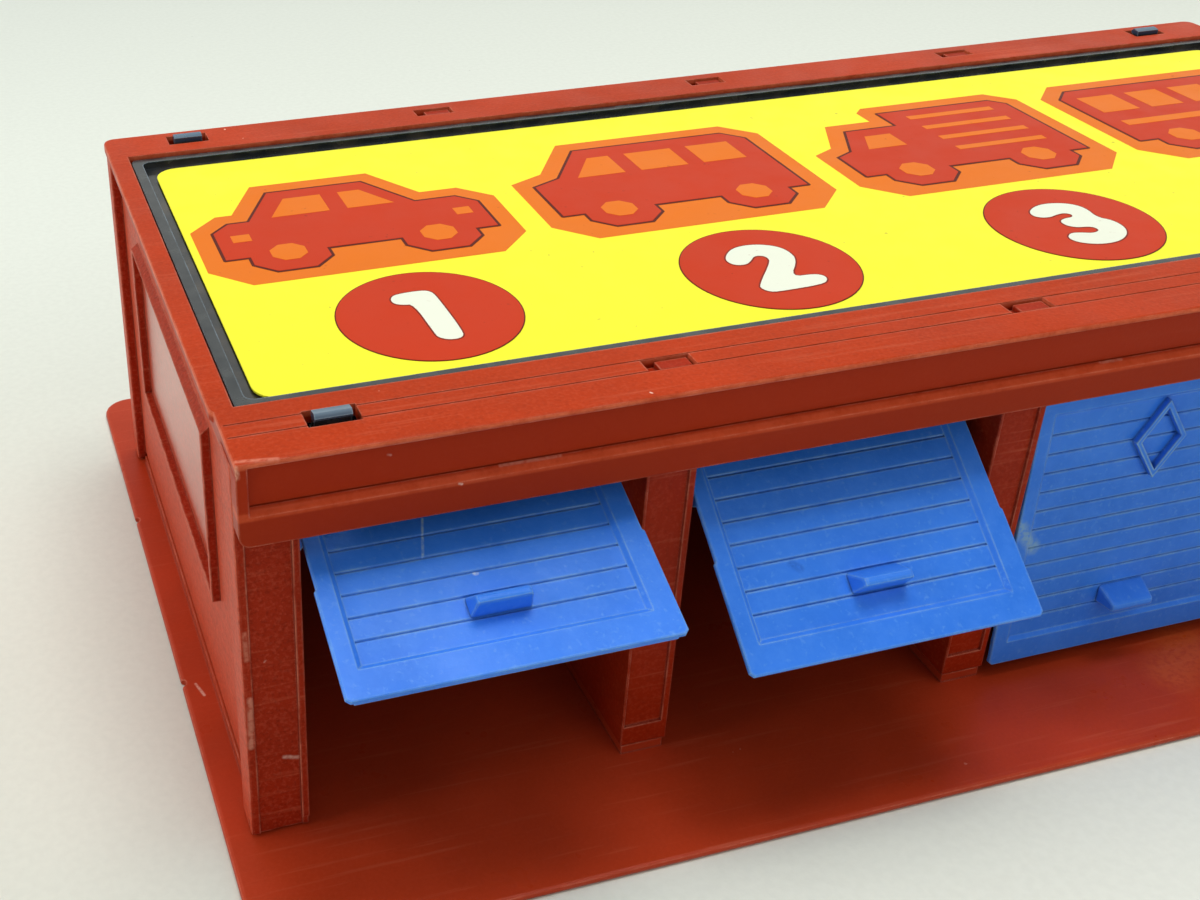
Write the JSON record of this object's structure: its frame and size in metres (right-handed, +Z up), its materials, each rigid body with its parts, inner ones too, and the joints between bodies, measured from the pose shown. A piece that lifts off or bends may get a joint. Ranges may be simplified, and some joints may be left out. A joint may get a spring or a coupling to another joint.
{
  "type": "toy parking garage",
  "caption": "Toy garage for small cars: a red body with bays under one framed roof panel, tip-up doors in front, on a flat base with an apron.",
  "frame": {"origin": "middle of the base's underside", "axes": "+X along the row of bays, to the right as seen from the doors; the doors face -Y; +Z up"},
  "size_m": [0.2068, 0.1274, 0.0583],
  "materials": {
    "red_plastic": "brick-red moulded plastic, slight gloss, scuffed",
    "smoked_plastic": "smoked blue-grey see-through plastic, glossy",
    "label_print": "bright yellow printed label with red and orange graphics",
    "blue_plastic": "mid-blue moulded plastic, satin, worn pale edges"
  },
  "bodies": {
    "garage": {"base_tray": "red_plastic", "roof_frame": "red_plastic", "left_end_wall": "red_plastic", "right_end_wall": "red_plastic", "back_wall": "red_plastic", "divider_wall_1": "red_plastic", "divider_wall_2": "red_plastic", "divider_wall_3": "red_plastic", "roof_panel": "smoked_plastic", "roof_label": "label_print"},
    "door_1": {"door_1": "blue_plastic"},
    "door_2": {"door_2": "blue_plastic"},
    "door_3": {"door_3": "blue_plastic"},
    "door_4": {"door_4": "blue_plastic"}
  },
  "joints": [
    {"name": "door_1_tip", "type": "hinge", "parent": "garage", "child": "door_1", "pos_m": [-0.072, -0.02955, 0.0318], "axis": [-1, 0, 0], "range_deg": [-68.1, 13.9]},
    {"name": "door_2_tip", "type": "hinge", "parent": "garage", "child": "door_2", "pos_m": [-0.024, -0.02955, 0.0318], "axis": [-1, 0, 0], "range_deg": [-52.7, 29.3]},
    {"name": "door_3_tip", "type": "hinge", "parent": "garage", "child": "door_3", "pos_m": [0.024, -0.02955, 0.0318], "axis": [-1, 0, 0], "range_deg": [-2.5, 79.5]},
    {"name": "door_4_tip", "type": "hinge", "parent": "garage", "child": "door_4", "pos_m": [0.072, -0.02955, 0.0318], "axis": [-1, 0, 0], "range_deg": [0, 82]}
  ]
}
